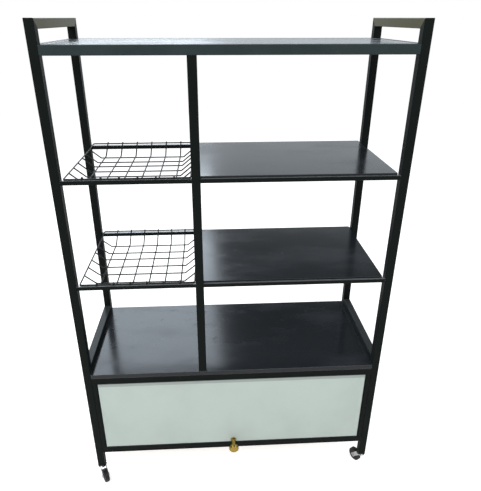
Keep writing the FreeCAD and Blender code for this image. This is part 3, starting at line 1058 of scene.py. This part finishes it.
@dataclass
class WireBasket:
    """One open wire basket that hangs between the front and rear slim rails.

    Lifts and drops are measured from the shelf level that the basket rests on, slopes are how far
    a wire runs in before it reaches the floor, and cross_places are in millimetres behind the
    front posts' faces.
    """

    paints: Paints
    node: str
    wire_radius: float = 2.1 * MM
    drop: float = 27.9 * MM
    rim_radius: float = 2.2 * MM
    rim_bend: float = 7.0 * MM
    rim_sides: int = 12
    rim_steps: int = 6
    rim_lift: float = 2.0 * MM
    rear_lift: float = 4.5 * MM
    rear_ramp: float = 60.0 * MM
    long_count: int = 6
    long_shift: float = 2.5 * MM
    long_bend: float = 1.9 * MM
    front_slope: float = 34.0 * MM
    rear_slope: float = 54.0 * MM
    hook_rise: float = 4.4 * MM
    hook_reach: float = 4.0 * MM
    hook_out: float = 2.4 * MM
    hook_tip_out: float = 3.4 * MM
    hook_tip_drop: float = 1.5 * MM
    rear_hook_sink: float = 0.8 * MM
    rear_hook_in: float = 3.0 * MM
    rear_hook_out: float = 1.4 * MM
    cross_places: tuple[int, ...] = (68, 121, 172, 227, 275, 331)
    cross_bend: float = 8.0 * MM
    cross_inset: float = 1.0 * MM
    cross_tuck: float = 1.6 * MM
    side_slope: float = 35.0 * MM
    low: Vector = field(init=False)
    high: Vector = field(init=False)
    rest: float = field(init=False)

    def __post_init__(self) -> None:
        """Reads the basket's box and the height of the shelf level it rests on."""
        self.low, self.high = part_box(self.node)
        level = self.node.split("_")[0]
        self.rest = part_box(f"{level}_shelf")[0].z

    def build(self) -> None:
        """Bends and joins the wires, which take the place of the plain basket."""
        wires = [self.rim(), *self.long_wires(), *self.cross_wires()]
        LOG.info("%s_wires: %d wires", self.node, len(wires))
        basket = Bench.join(wires, f"{self.node}_wires")
        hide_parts(self.node)
        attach(basket, "frame")

    def rim(self) -> bpy.types.Object:
        """Bends the closed rim wire, whose rear run stands above the rear rail.

        Returns:
            The rim.
        """
        left = self.low.x + self.rim_radius
        right = self.high.x - self.rim_radius
        front = self.low.y + self.rim_radius
        rear = self.high.y - self.rim_radius
        middle = (left + right) / 2
        ramp = rear - self.rear_ramp
        z = self.rest + self.rim_lift
        corners = [
            (middle, front, z),
            (right, front, z),
            (right, ramp, z),
            (right, rear, z + self.rear_lift),
            (left, rear, z + self.rear_lift),
            (left, ramp, z),
            (left, front, z),
            (middle, front, z),
        ]
        rim = BentWire(corners, self.rim_radius, self.rim_bend, self.rim_sides, self.rim_steps)
        return rim.make(f"{self.node}_rim", self.paints.wire)

    def long_wires(self) -> list[bpy.types.Object]:
        """Bends the front-to-back wires, hooked over the rim at both ends.

        Returns:
            The wires, from left to right.
        """
        floor = self.rest - self.drop + 2 * self.wire_radius
        rim_z = self.rest + self.rim_lift
        top = rim_z + self.hook_rise
        rear_top = top + self.rear_lift - self.rear_hook_sink
        front = self.low.y + self.wire_radius
        rear = self.high.y - self.wire_radius
        corners = [
            (0.0, front - self.hook_tip_out, rim_z - self.hook_tip_drop),
            (0.0, front - self.hook_out, top),
            (0.0, front + self.hook_reach, top),
            (0.0, front + self.front_slope, floor),
            (0.0, rear - self.rear_slope, floor),
            (0.0, rear - self.rear_hook_in, rear_top),
            (0.0, rear + self.rear_hook_out, rear_top),
        ]
        pitch = (self.high.x - self.low.x) / (self.long_count + 1)
        first = self.low.x + self.long_shift + pitch
        moves = [Vector((first + pitch * count, 0.0, 0.0)) for count in range(self.long_count)]
        return self.row("long", corners, self.long_bend, moves)

    def cross_wires(self) -> list[bpy.types.Object]:
        """Bends the side-to-side wires, whose ends are welded under the rim.

        Returns:
            The wires, from front to rear.
        """
        floor = self.rest - self.drop
        end_z = self.rest + self.rim_lift - self.cross_tuck
        left = self.low.x + self.rim_radius
        right = self.high.x - self.rim_radius
        corners = [
            (left + self.cross_inset, 0.0, end_z),
            (left + self.side_slope, 0.0, floor),
            (right - self.side_slope, 0.0, floor),
            (right - self.cross_inset, 0.0, end_z),
        ]
        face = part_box("front_left_post")[0].y
        moves = [Vector((0.0, face + place * MM, 0.0)) for place in self.cross_places]
        return self.row("cross", corners, self.cross_bend, moves)

    def row(
        self, kind: str, corners: list[Point], bend: float, moves: list[Vector]
    ) -> list[bpy.types.Object]:
        """Bends one wire and copies it along a row.

        Args:
            kind: The wires' name.
            corners: The corners of the wire.
            bend: The radius of its bends.
            moves: How far each copy stands from the wire.

        Returns:
            The copies.
        """
        wire = BentWire(corners, self.wire_radius, bend)
        pattern = wire.make(f"{self.node}_{kind}", self.paints.wire)
        copies = [
            Bench.copy(pattern, f"{self.node}_{kind}_{count}", Matrix.Translation(move))
            for count, move in enumerate(moves, 1)
        ]
        bpy.data.objects.remove(pattern)
        return copies


@dataclass
class Drawer:
    """The sliding drawer, its slides and its knob."""

    paints: Paints
    box_sides: tuple[str, ...] = ("inner_front", "back", "left_side", "right_side", "bottom")
    slide_stages: tuple[str, ...] = ("outer", "middle", "inner")

    def dress_nodes(self) -> None:
        """Gives the front, box, slides and knob their finishes."""
        dress("drawer_front_panel", self.paints.panel)
        for side in self.box_sides:
            dress(f"drawer_{side}", self.paints.ply)
        for stage in self.slide_stages:
            dress(f"slide_{stage}_members", self.paints.zinc)
        dress("drawer_knob", self.paints.brass)
        dress("knob_screw", self.paints.steel)


@dataclass
class Casters:
    """The four swivel casters."""

    paints: Paints

    def dress_nodes(self) -> None:
        """Gives stems, forks, wheels and axles their finishes."""
        dress("caster_stems", self.paints.chrome)
        for corner in CORNERS:
            dress(f"{corner}_caster_fork", self.paints.chrome)
            dress(f"{corner}_caster_wheel", self.paints.tyre)
            dress(f"{corner}_caster_axle", self.paints.steel)


# --------------------------------------------------------------------------
# Studio and camera
# --------------------------------------------------------------------------


@dataclass(frozen=True)
class Lamp:
    """One rectangular area lamp that faces a point."""

    name: str
    at: Point
    facing: Point
    wide: float
    tall: float
    watts: float
    colour: Colour = WHITE

    def light(self) -> None:
        """Adds the lamp to the scene."""
        data = bpy.data.lights.new(self.name, "AREA")
        data.shape = "RECTANGLE"
        data.size = self.wide
        data.size_y = self.tall
        data.energy = self.watts
        data.color = self.colour
        lamp = bpy.data.objects.new(self.name, data)
        lamp.location = self.at
        aim = Vector(self.facing) - Vector(self.at)
        lamp.rotation_euler = aim.to_track_quat("-Z", "Y").to_euler()
        lamp.visible_camera = False
        bpy.context.scene.collection.objects.link(lamp)


@dataclass(frozen=True)
class Studio:
    """A pale floor, a white surround and soft lamps.

    The surround's spans are directions, from -1 to 1 along an axis, between which it dims.
    """

    floor_reach: float = 7.0
    floor_colour: Colour = (0.90, 0.90, 0.90)
    floor_mottle: Grain = Grain(6.0)
    mottle_shade: float = 0.985
    floor_roughness: float = 0.9
    floor_lift: float = 0.60
    ambient: float = 0.55
    back_span: Span = (-0.55, 0.35)
    front_dim: float = 0.30
    ceiling_span: Span = (0.30, 0.47)
    ceiling_dim: float = 0.14
    sky_tint: Colour = (0.86, 0.94, 1.0)
    lamps: tuple[Lamp, ...] = (
        Lamp("key_lamp", (-1.9, -2.3, 3.3), (0.0, 0.0, 0.7), wide=2.2, tall=2.2, watts=78.0),
        Lamp("fill_lamp", (2.3, -1.9, 2.6), (0.0, 0.0, 0.7), wide=2.2, tall=2.2, watts=36.0),
        Lamp(
            "window_lamp",
            (-0.9, 3.2, 2.95),
            (-0.4, 0.0, 0.9),
            wide=1.8,
            tall=1.3,
            watts=40.0,
            colour=(0.80, 0.90, 1.0),
        ),
    )

    def build(self) -> None:
        """Makes the floor, the surround and the lamps."""
        self.floor()
        self.surround()
        for lamp in self.lamps:
            lamp.light()

    def floor(self) -> None:
        """Lays the floor, which shows white to the camera outside the shadow."""
        Bench.clear()
        bpy.ops.mesh.primitive_plane_add(size=2 * self.floor_reach, location=(0.0, 0.0, 0.0))
        ground = bpy.context.object
        ground.name = "studio_floor"
        mix = Recipe.of_material("studio_floor_paint")
        shade = lighter(self.floor_colour, self.mottle_shade)
        base = mix.blend(mix.noise(self.floor_mottle), self.floor_colour, shade)
        paint = mix.node(
            "ShaderNodeBsdfPrincipled", {}, {"Base Color": base, "Roughness": self.floor_roughness}
        )
        seen = mix.node("ShaderNodeLightPath", out="Is Camera Ray")
        glow = mix.node(
            "ShaderNodeEmission", {}, {"Color": WHITE, "Strength": seen * self.floor_lift}
        )
        mix.close(mix.node("ShaderNodeAddShader", {}, {0: paint, 1: glow}))
        ground.data.materials.append(mix.owner)

    def surround(self) -> None:
        """Sets the world: white to the camera and behind the stand, dimmer behind the camera."""
        world = bpy.data.worlds.new("studio_surround")
        bpy.context.scene.world = world
        mix = Recipe(world)
        glossy = mix.node("ShaderNodeLightPath", out="Is Glossy Ray")
        through = mix.node("ShaderNodeLightPath", out="Is Transmission Ray")
        seen = mix.node("ShaderNodeLightPath", out="Is Camera Ray")
        heading = mix.node("ShaderNodeTexCoord", out="Generated")
        back = mix.stepped(mix.axis(heading, "Y"), self.back_span, (self.front_dim, 1.0))
        ceiling = mix.stepped(mix.axis(heading, "Z"), self.ceiling_span, (1.0, self.ceiling_dim))
        level = mix.level(glossy, self.ambient, back * ceiling)
        level = mix.level(through, level, 1.0)
        level = mix.level(seen, level, 1.0)
        tint = mix.blend(glossy, WHITE, self.sky_tint)
        sky = mix.node("ShaderNodeBackground", {}, {"Color": tint, "Strength": level})
        mix.close(sky, "ShaderNodeOutputWorld")


@dataclass(frozen=True)
class Viewpoint:
    """The camera's place, turn in degrees and focal length."""

    at: Point = (-0.06358, -1.43916, 1.57026)
    yaw: float = 3.067
    pitch: float = -24.397
    roll: float = 0.019
    focal_pixels: float = 467.86
    shift_pixels: tuple[float, float] = (6.21, -15.68)
    long_side_pixels: int = 491
    sensor: float = 36.0
    near: float = 0.05
    far: float = 60.0

    def shoot(self) -> None:
        """Adds the camera and makes it the scene's own."""
        yaw, pitch, roll = (math.radians(turn) for turn in (self.yaw, self.pitch, self.roll))
        ahead = Vector(
            (math.sin(yaw) * math.cos(pitch), math.cos(yaw) * math.cos(pitch), math.sin(pitch))
        )
        level = Vector((math.cos(yaw), -math.sin(yaw), 0.0))
        above = level.cross(ahead)
        right = math.cos(roll) * level + math.sin(roll) * above
        up = -math.sin(roll) * level + math.cos(roll) * above
        data = bpy.data.cameras.new("view_camera")
        data.sensor_width = self.sensor
        data.lens = self.focal_pixels * self.sensor / self.long_side_pixels
        data.shift_x = self.shift_pixels[0] / self.long_side_pixels
        data.shift_y = self.shift_pixels[1] / self.long_side_pixels
        data.clip_start = self.near
        data.clip_end = self.far
        camera = bpy.data.objects.new("view_camera", data)
        turn = Matrix((right, up, -ahead)).transposed()
        camera.matrix_world = Matrix.Translation(self.at) @ turn.to_4x4()
        bpy.context.scene.collection.objects.link(camera)
        bpy.context.scene.camera = camera


def main() -> None:
    """Dresses the frame, builds the loose detail, then the studio and camera."""
    logging.basicConfig(level=logging.INFO, format="%(name)s: %(message)s")
    bpy.context.scene.view_settings.view_transform = "Standard"
    paints = Paints()
    structure = TubeFrame(paints)
    structure.dress_nodes()
    structure.weld()
    for node in ("lower_basket", "upper_basket"):
        WireBasket(paints, node).build()
    Drawer(paints).dress_nodes()
    Casters(paints).dress_nodes()
    Studio().build()
    Viewpoint().shoot()


if __name__ == "__main__":
    main()
